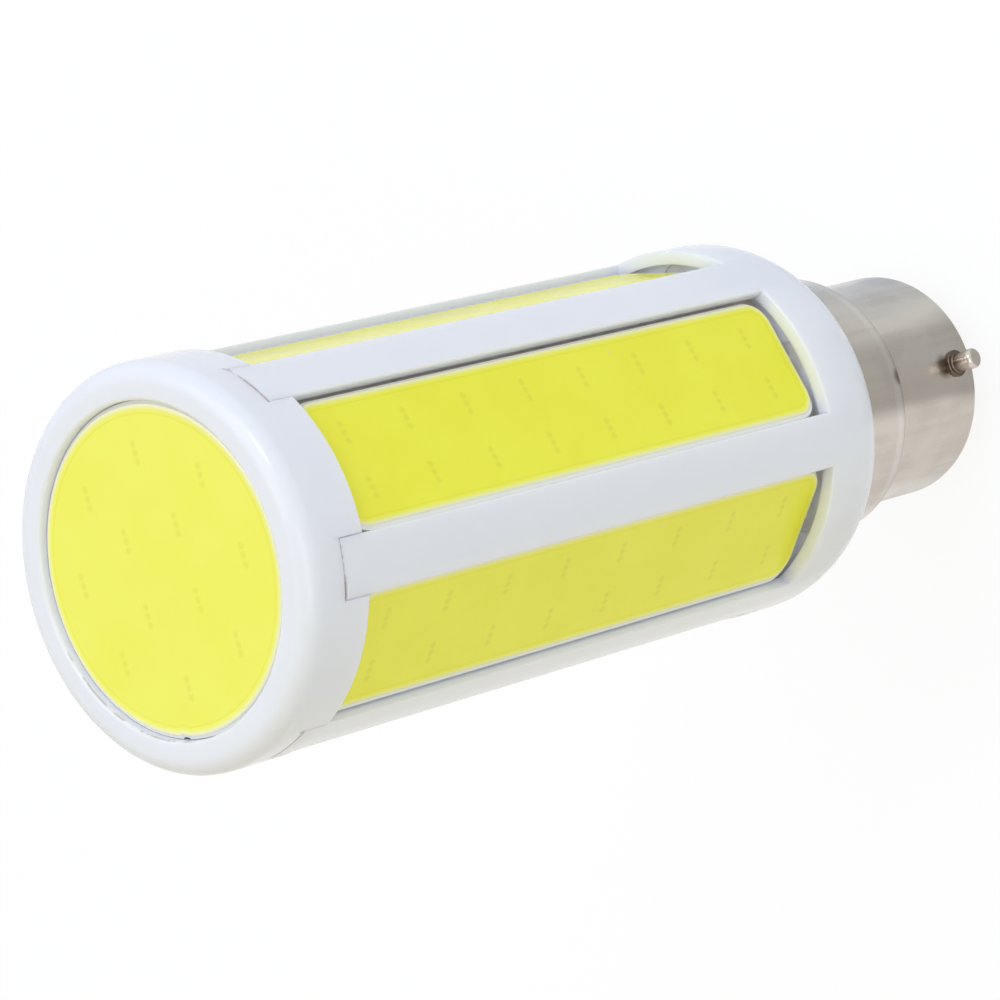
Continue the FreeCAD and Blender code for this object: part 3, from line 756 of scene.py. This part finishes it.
YELLOW = (0.96, 0.955, 0.038, 1.0)
YELLOW_WARM = (0.94, 0.925, 0.03, 1.0)
BEAD_PALE = (0.95, 0.955, 0.86, 1.0)
BORDER_LINE = (0.76, 0.73, 0.05, 1.0)
DOT_OLIVE = (0.62, 0.49, 0.04, 1.0)
CHIP_AMBER = (0.50, 0.45, 0.06, 1.0)
DUST_BROWN = (0.25, 0.20, 0.06, 1.0)
DUST_PALE = (0.93, 0.93, 0.80, 1.0)
COAT_ROUGHNESS = (0.18, 0.26)
COAT_TONE_SCALE = 160.0
POWDER_SCALE = 5000.0
POWDER_SPREAD = (0.55, 0.8)
POWDER_STRENGTH = 0.10
POWDER_BUMP = 0.12
POWDER_HEIGHT = 0.03 * MM
LINE_RISE = (0.70, 0.84)
LINE_FALL = (0.99, 0.86)
LINE_STRENGTH = 0.25
BEAD_REACH = 0.72
BEAD_POWER = 1.6
BROWN_SPECKS = {"Scale": 420.0, "Share": 0.012, "Size": 0.05}
BROWN_STRENGTH = 0.6
PALE_SPECKS = {"Scale": 380.0, "Share": 0.03, "Size": 0.06}
PALE_STRENGTH = 0.5

# Three dots in a row, from the distances along and across the row
chip_dots, ends, out = effect(
    "chip_dots",
    [("Along", "Float", 0.0), ("Across", "Float", 0.0)],
    [("Mask", "Float")],
)
from_middle = calc(chip_dots, "ABSOLUTE", ends.outputs["Along"])
from_outer = calc(chip_dots, "ABSOLUTE", calc(chip_dots, "SUBTRACT", from_middle, DOT_STEP))
nearest = calc(chip_dots, "MINIMUM", from_middle, from_outer)
along_square = calc(chip_dots, "POWER", nearest, 2.0)
across_square = calc(chip_dots, "POWER", ends.outputs["Across"], 2.0)
away = calc(chip_dots, "SQRT", calc(chip_dots, "ADD", along_square, across_square))
chip_dots.links.new(fade(chip_dots, away, *DOT_FADE), out.inputs["Mask"])


def phosphor(name, first, second, marks):
    """Silicone between two yellows, with faint chip marks.
    A pale bead goes round it, with a fine line inside the bead."""
    material, tree, shader, place = new_finish(name)
    tone = use(tree, mottle, Place=place, Scale=COAT_TONE_SCALE).outputs["Tone"]
    colour = blend(tree, tone, first, second)
    powder = use(tree, grain, Place=place, Scale=POWDER_SCALE).outputs["Height"]
    colour = blend(tree, fade(tree, powder, *POWDER_SPREAD, 0.0, POWDER_STRENGTH), colour, BORDER_LINE)
    colour = blend(tree, calc(tree, "MULTIPLY", marks(tree, place), DOT_STRENGTH), colour, DOT_OLIVE)
    rim = add(tree, "Attribute", attribute_name="rim").outputs["Fac"]
    line = calc(tree, "MULTIPLY", fade(tree, rim, *LINE_RISE), fade(tree, rim, *LINE_FALL))
    colour = blend(tree, calc(tree, "MULTIPLY", line, LINE_STRENGTH), colour, BORDER_LINE)
    edge = calc(tree, "SUBTRACT", 1.0, calc(tree, "DIVIDE", rim, BEAD_REACH), clamp=True)
    colour = blend(tree, calc(tree, "POWER", edge, BEAD_POWER), colour, BEAD_PALE)
    brown = use(tree, specks, Place=place, **BROWN_SPECKS).outputs["Mask"]
    colour = blend(tree, calc(tree, "MULTIPLY", brown, BROWN_STRENGTH), colour, DUST_BROWN)
    pale = use(tree, specks, Place=place, **PALE_SPECKS).outputs["Mask"]
    colour = blend(tree, calc(tree, "MULTIPLY", pale, PALE_STRENGTH), colour, DUST_PALE)
    tree.links.new(colour, shader.inputs["Base Color"])
    tree.links.new(fade(tree, tone, 0.0, 1.0, *COAT_ROUGHNESS), shader.inputs["Roughness"])
    bump = add(tree, "Bump", {"Height": powder, "Strength": POWDER_BUMP, "Distance": POWDER_HEIGHT})
    tree.links.new(bump.outputs["Normal"], shader.inputs["Normal"])
    return material


def side_marks(tree, place):
    """Chip marks of a side panel, in two rows along it."""
    xyz = add(tree, "SeparateXYZ", {"Vector": place})
    along = calc(tree, "SUBTRACT", calc(tree, "ABSOLUTE", xyz.outputs["Y"]), ROW_OFFSET)
    half_pitch = chip_pitch / 2
    from_first = calc(tree, "SUBTRACT", xyz.outputs["Z"], first_chip - half_pitch)
    across = calc(tree, "SUBTRACT", calc(tree, "FLOORED_MODULO", from_first, chip_pitch), half_pitch)
    return use(tree, chip_dots, Along=along, Across=across).outputs["Mask"]


def poured_coat(name, outline, base, top):
    """Coat within an outline that gives its points for an inset and a level.
    It has a thin foot, a rounded bead and a slightly lower fill. The inset is kept as the rim value,
    which is 1 over the whole fill."""
    shape = bmesh.new()
    rim = shape.verts.layers.float.new("rim")
    steps = [(-reach * MM, base + rise * MM) for reach, rise in COAT_FOOT]
    steps.append((0.0, top - COAT_EDGE))
    for k in range(1, EDGE_STEPS + 1):
        turn = math.pi / 2 * k / EDGE_STEPS
        steps.append((COAT_EDGE * (1 - math.cos(turn)), top - COAT_EDGE * (1 - math.sin(turn))))
    for k in range(1, BEAD_STEPS + 1):
        share = k / BEAD_STEPS
        inset = COAT_EDGE + (COAT_BEAD - COAT_EDGE) * share
        steps.append((inset, top - COAT_SINK * (3 - 2 * share) * share ** 2))
    steps.append((FILL_INSET, top - COAT_SINK))
    rings = []
    for inset, level in steps:
        ring = [shape.verts.new(point) for point in outline(inset, level)]
        for vert in ring:
            vert[rim] = min(1.0, inset / COAT_BEAD)
        rings.append(ring)
    for low, high in zip(rings, rings[1:]):
        for k in range(len(low)):
            shape.faces.new((low[k - 1], low[k], high[k], high[k - 1]))
    shape.faces.new(rings[0])
    shape.faces.new(rings[-1])
    piece = made_piece(name, shape)
    settle(piece, sharp=COAT_SHARP_ANGLE)
    return piece


def side_outline(inset, level):
    """Rounded oblong on a panel that faces +X, smaller all round by the inset.
    The foot spills wider and thicker on the -Y side."""
    half = coat_half - inset
    near = -half - max(-inset, 0.0) * COAT_SPILL
    corner = max(COAT_CORNER - inset, LEAST_CORNER)
    low = coat_low + inset
    high = coat_high - inset
    corners = [(near, low, corner), (half, low, corner), (half, high, corner), (near, high, corner)]
    oblong = rounded(corners, CORNER_STEPS)
    lift = max(0.0, coat_base + FOOT_LIFT - level) if level > coat_base else 0.0
    return [(level + lift * max(0.0, 1 - (y - near) / corner), y, z) for y, z in oblong]


board_normal = Vector((math.cos(panel_turn), math.sin(panel_turn), 0))
board_across = Vector((-math.sin(panel_turn), math.cos(panel_turn), 0))
coat_points = [v.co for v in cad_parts["side_phosphor_1"].data.vertices]
coat_base = min(p.dot(board_normal) for p in coat_points)
coat_top = max(p.dot(board_normal) for p in coat_points)
coat_half = max(p.dot(board_across) for p in coat_points)
coat_low = min(p.z for p in coat_points)
coat_high = max(p.z for p in coat_points)
first_chip = coat_low + CHIP_MARGIN
chip_pitch = (coat_high - coat_low - 2 * CHIP_MARGIN) / (CHIPS_PER_ROW - 1)
side_finish = phosphor("side_phosphor_silicone", YELLOW, YELLOW_WARM, side_marks)
for i in SIDES:
    coat = poured_coat(f"side_phosphor_poured_{i}", side_outline, coat_base, coat_top)
    coat.rotation_euler.z = panel_turn + (i - 1) * 2 * math.pi / PANELS
    coat.data.materials.append(side_finish)
    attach(coat, "root")
    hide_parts(f"side_phosphor_{i}")
chip_finish = plain_finish(
    "chip_dies", CHIP_AMBER, DOT_OLIVE,
    roughness=0.3, tone_scale=900.0, grain_scale=3000.0,
)
coat_nodes(chip_finish, *[f"side_chips_{i}" for i in SIDES])

# Front ring
# White moulded ring with a rounded front edge, a lip round the end light and a skirt over the heat sink.
# The skirt's tabs cover the front ends of the side boards.
# Its notches take the rib tips, and glue half fills the seams.
RIB_SIDE_GAP = 0.1 * MM
SEAM_FILL = 0.065 * MM
RIB_TIP_GAP = 0.2 * MM
TIP_FILL = 0.11 * MM
SKIRT_WALL = 1.1 * MM
FACE_WIDTH = 3.25 * MM
FRONT_ROUND = 1.8 * MM
LIP_ROUND = 0.35 * MM
LEDGE_WIDTH = 3.4 * MM
LIP_STAIN_TURN = -128.0
LIP_STAIN_OFFSET = 0.05 * MM
LIP_STAIN_WIDTH = 0.08 * MM
LIP_STAIN_SPREAD = (0.75, 0.45)
LIP_STAIN_SCALE = 700.0
LIP_STAIN_BREAKS = (0.25, 0.75)
LIP_STAIN_STRENGTH = 0.5
RING_EDGE_ROUND = EDGE_ROUND / 3
RING_STEPS = 14


def lip_stain(tree, place):
    """Broken brown line on the lip, where the end board's sealant has crept over its inner edge."""
    xyz = add(tree, "SeparateXYZ", {"Vector": place})
    radius = add(tree, "VectorMath", {0: place, 1: (1.0, 1.0, 0.0)}, operation="MULTIPLY").outputs["Vector"]
    radius = add(tree, "VectorMath", {0: radius}, operation="LENGTH").outputs["Value"]
    off = calc(tree, "ABSOLUTE", calc(tree, "SUBTRACT", radius, opening + LIP_STAIN_OFFSET))
    line = fade(tree, off, LIP_STAIN_WIDTH, 0.0)
    angle = calc(tree, "ARCTAN2", xyz.outputs["Y"], xyz.outputs["X"])
    off_turn = calc(tree, "ABSOLUTE", calc(tree, "SUBTRACT", angle, math.radians(LIP_STAIN_TURN)))
    side = fade(tree, off_turn, *LIP_STAIN_SPREAD)
    front = calc(tree, "GREATER_THAN", xyz.outputs["Z"], ring_high.z - LIP_ROUND)
    patch = use(tree, mottle, Place=place, Scale=LIP_STAIN_SCALE).outputs["Tone"]
    broken = fade(tree, patch, *LIP_STAIN_BREAKS)
    mask = calc(tree, "MULTIPLY", calc(tree, "MULTIPLY", line, side), calc(tree, "MULTIPLY", front, broken))
    return calc(tree, "MULTIPLY", mask, LIP_STAIN_STRENGTH)


ring_low, ring_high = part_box("front_ring")
ledge_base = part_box("heat_sink")[1].z
ledge_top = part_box("end_board")[0].z
opening = body_radius - FACE_WIDTH
notch_end = cage_high.z + RIB_TIP_GAP - TIP_FILL
ring_path = rounded([
    (body_radius, notch_end, 0),
    (body_radius, ring_high.z, FRONT_ROUND),
    (opening, ring_high.z, LIP_ROUND),
    (opening, ledge_top, 0),
    (opening - LEDGE_WIDTH, ledge_top, 0),
    (opening - LEDGE_WIDTH, ledge_base, 0),
    (body_radius - SKIRT_WALL, ledge_base, 0),
    (body_radius - SKIRT_WALL, notch_end, 0),
], steps=RING_STEPS)
tab_half = WINDOW_WIDTH / 2 - RIB_SIDE_GAP + SEAM_FILL
front_ring = fingered_shell("front_ring_moulding", ring_path, tab_half, False, ring_low.z, ring_high.z)
soft_edges(front_ring, RING_EDGE_ROUND)
settle(front_ring)
front_ring.data.materials.append(white_plastic("ring_plastic", lip_stain))
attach(front_ring, "root")
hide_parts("front_ring")

# End light
# Round board with white solder mask on the ring's ledge, and its own yellow coat over twelve chips.
# A small notch at the edge lets the lead through.
END_SEGMENTS = 288
NOTCH_TURN = -102.0
NOTCH_RADIUS = 0.42 * MM
END_OUTER_CIRCLE = 10.15 * MM
END_INNER_CIRCLE = 4.65 * MM
END_OUTER_COUNT = 8
END_INNER_COUNT = 4
END_OUTER_TURN = -4.4
END_INNER_TURN = 45.7
END_YELLOW = (0.965, 0.97, 0.12, 1.0)
END_YELLOW_WARM = (0.95, 0.95, 0.10, 1.0)


def end_outline(inset, level):
    """Circle with the lead's notch, smaller all round by the inset."""
    points = []
    for k in range(END_SEGMENTS):
        angle = 2 * math.pi * k / END_SEGMENTS
        radius = end_coat_radius - inset
        off = angle - math.radians(NOTCH_TURN)
        reach = NOTCH_RADIUS + inset
        aside = end_board_radius * math.sin(off)
        if math.cos(off) > 0 and abs(aside) < reach:
            cut = end_board_radius * math.cos(off) - math.sqrt(reach ** 2 - aside ** 2)
            radius = min(radius, cut)
        points.append((radius * math.cos(angle), radius * math.sin(angle), level))
    return points


def ring_marks(tree, place, count, turn, circle):
    """Chip marks evenly spaced on a circle, all with their dots in the Y direction."""
    xyz = add(tree, "SeparateXYZ", {"Vector": place})
    step = 2 * math.pi / count
    first = math.radians(turn)
    angle = calc(tree, "ARCTAN2", xyz.outputs["Y"], xyz.outputs["X"])
    index = calc(tree, "ROUND", calc(tree, "DIVIDE", calc(tree, "SUBTRACT", angle, first), step))
    middle = calc(tree, "MULTIPLY_ADD", index, step, first)
    mark_y = calc(tree, "MULTIPLY", calc(tree, "SINE", middle), circle)
    mark_x = calc(tree, "MULTIPLY", calc(tree, "COSINE", middle), circle)
    along = calc(tree, "SUBTRACT", xyz.outputs["Y"], mark_y)
    across = calc(tree, "SUBTRACT", xyz.outputs["X"], mark_x)
    return use(tree, chip_dots, Along=along, Across=across).outputs["Mask"]


def end_marks(tree, place):
    """Chip marks of the end light, on an outer and an inner circle."""
    outer = ring_marks(tree, place, END_OUTER_COUNT, END_OUTER_TURN, END_OUTER_CIRCLE)
    inner = ring_marks(tree, place, END_INNER_COUNT, END_INNER_TURN, END_INNER_CIRCLE)
    return calc(tree, "MAXIMUM", outer, inner)


coat_nodes(mask_finish, "end_board")
coat_nodes(chip_finish, "end_chips")
end_board_low, end_board_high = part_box("end_board")
end_board_radius = (end_board_high.x - end_board_low.x) / 2
end_low, end_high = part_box("end_phosphor")
end_coat_radius = (end_high.x - end_low.x) / 2
end_coat = poured_coat("end_phosphor_poured", end_outline, end_low.z, end_high.z)
end_coat.data.materials.append(phosphor("end_phosphor_silicone", END_YELLOW, END_YELLOW_WARM, end_marks))
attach(end_coat, "root")
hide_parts("end_phosphor")

# Floor
# Plain pale floor under the cap's contacts. It is white to the eye and keeps a soft shadow.
# In reflections it darkens round the cap towards the camera, like the unlit side of a studio.
FLOOR_SIZE = 6.0
FLOOR_PALE = (0.80, 0.81, 0.83, 1.0)
FLOOR_WHITE = (1.0, 1.0, 1.0, 1.0)
FLOOR_GLOW = 1.05
SHADOW_SHARE = 0.15
FIELD_REACH = 42.0 * MM
FIELD_END = FIELD_REACH * 1.2
FIELD_FIRST = -115.0
FIELD_LAST = 110.0
FIELD_TONES = (
    (-85.0, (0.87, 0.86, 0.845, 1.0)),
    (-25.0, (0.97, 0.97, 0.97, 1.0)),
    (-18.0, (0.49, 0.49, 0.48, 1.0)),
    (26.0, (0.53, 0.55, 0.54, 1.0)),
    (42.0, (0.82, 0.86, 0.86, 1.0)),
    (75.0, (0.66, 0.715, 0.77, 1.0)),
    (90.0, (0.70, 0.77, 0.85, 1.0)),
    (100.0, (0.82, 0.88, 0.95, 1.0)),
)

floor_shape = bmesh.new()
bmesh.ops.create_grid(floor_shape, x_segments=1, y_segments=1, size=FLOOR_SIZE / 2)
floor = made_piece("floor", floor_shape)
floor.location.z = cad_box[0].z
floor_finish = bpy.data.materials.new("pale_floor")
floor_finish.use_nodes = True
tree = floor_finish.node_tree
tree.nodes.clear()
paper = add(tree, "BsdfDiffuse", {"Color": FLOOR_PALE})
path = add(tree, "LightPath")
place = add(tree, "TexCoord").outputs["Object"]
xyz = add(tree, "SeparateXYZ", {"Vector": place})
bearing = calc(tree, "ARCTAN2", xyz.outputs["Y"], xyz.outputs["X"])
ends = {"Value": bearing, "From Min": math.radians(FIELD_FIRST), "From Max": math.radians(FIELD_LAST)}
field = add(tree, "ValToRGB", {"Fac": add(tree, "MapRange", ends).outputs["Result"]})
stops = field.color_ramp.elements
stops[0].color = FLOOR_WHITE
stops[1].color = FLOOR_WHITE
for stop_angle, tone in FIELD_TONES:
    stops.new((stop_angle - FIELD_FIRST) / (FIELD_LAST - FIELD_FIRST)).color = tone
from_cap = add(tree, "VectorMath", {0: place}, operation="LENGTH").outputs["Value"]
near = fade(tree, from_cap, FIELD_END, FIELD_REACH)
mirrored = calc(tree, "MULTIPLY", near, path.outputs["Is Glossy Ray"])
glow_colour = blend(tree, mirrored, FLOOR_WHITE, field.outputs["Color"])
glow = add(tree, "Emission", {"Color": glow_colour, "Strength": FLOOR_GLOW})
seen_paper = add(tree, "MixShader", {0: SHADOW_SHARE, 1: glow.outputs[0], 2: paper.outputs[0]})
seen = calc(tree, "MAXIMUM", path.outputs["Is Camera Ray"], path.outputs["Is Glossy Ray"])
seen = calc(tree, "MAXIMUM", seen, path.outputs["Is Transmission Ray"])
surface = add(tree, "MixShader", {0: seen, 1: paper.outputs[0], 2: seen_paper.outputs[0]})
add(tree, "OutputMaterial", {"Surface": surface.outputs[0]})
floor.data.materials.append(floor_finish)

# Studio light
# Pale surround, cool on the +Y side and warm on the other, with a large soft lamp over the front end,
# a smaller one to the camera's side of it for the streak on the front ring, and a fill lamp by the camera.
SURROUND_COOL = (0.955, 0.99, 1.15, 1.0)
SURROUND_WARM = (0.88, 0.745, 0.35, 1.0)
SURROUND_WHITE = (1.0, 1.0, 1.0, 1.0)
SURROUND_LEVEL = 0.675
TINT_SPREAD = (-0.9, 0.3)
LAMP_WHITE = (0.955, 0.98, 1.0)
LAMP_COOL = (0.82, 0.90, 1.0)
LAMPS = (
    ("soft_lamp", 0.9, (0.0, 0.50, 1.0), 2.6, LAMP_WHITE),
    ("streak_lamp", 0.24, (0.42, 0.56, 0.80), 0.9, LAMP_WHITE),
    ("fill_lamp", 0.6, (0.72, -0.30, 0.72), 1.5, LAMP_COOL),
)

world = bpy.data.worlds.new("studio")
bpy.context.scene.world = world
world.use_nodes = True
tree = world.node_tree
tree.nodes.clear()
path = add(tree, "LightPath")
seen = calc(tree, "MAXIMUM", path.outputs["Is Camera Ray"], path.outputs["Is Glossy Ray"])
seen = calc(tree, "MAXIMUM", seen, path.outputs["Is Transmission Ray"])
level = fade(tree, seen, 0.0, 1.0, SURROUND_LEVEL, 1.0)
sky = add(tree, "SeparateXYZ", {"Vector": add(tree, "TexCoord").outputs["Generated"]})
tint = blend(tree, fade(tree, sky.outputs["Y"], *TINT_SPREAD), SURROUND_WARM, SURROUND_COOL)
surround = add(tree, "Background", {"Color": blend(tree, seen, tint, SURROUND_WHITE), "Strength": level})
add(tree, "OutputWorld", {"Surface": surround.outputs[0]})

for name, size, lamp_place, watts, lamp_colour in LAMPS:
    lamp_data = bpy.data.lights.new(name, "AREA")
    lamp_data.size = size
    lamp_data.energy = watts
    lamp_data.color = lamp_colour
    lamp = bpy.data.objects.new(name, lamp_data)
    lamp.location = lamp_place
    lamp.rotation_euler = (-Vector(lamp_place)).to_track_quat("-Z", "Y").to_euler()
    bpy.context.scene.collection.objects.link(lamp)

# Camera
# At the photograph's angle: above the front end, with the picture turned so that the bulb lies across it.
# Its distance and lens give the photograph's perspective.
CAMERA_TURN = -1.861
CAMERA_RISE = 46.376
CAMERA_ROLL = 104.547
CAMERA_DISTANCE = 406.375 * MM
CAMERA_AIM = Vector((-0.045, -1.374, 61.845)) * MM
CAMERA_LENS = 161.349
SENSOR_WIDTH = 36.0
CLIP_START = 0.01

turn = math.radians(CAMERA_TURN)
rise = math.radians(CAMERA_RISE)
towards = Vector((math.cos(rise) * math.cos(turn), math.cos(rise) * math.sin(turn), math.sin(rise)))
camera_data = bpy.data.cameras.new("camera")
camera_data.lens = CAMERA_LENS
camera_data.sensor_width = SENSOR_WIDTH
camera_data.clip_start = CLIP_START
camera = bpy.data.objects.new("camera", camera_data)
level_look = (-towards).to_track_quat("-Z", "Y").to_matrix()
roll = Matrix.Rotation(math.radians(-CAMERA_ROLL), 3, "Z")
camera_place = Matrix.Translation(CAMERA_AIM + towards * CAMERA_DISTANCE)
camera.matrix_world = camera_place @ (level_look @ roll).to_4x4()
bpy.context.scene.collection.objects.link(camera)
bpy.context.scene.camera = camera
bpy.context.scene.view_settings.view_transform = "Standard"
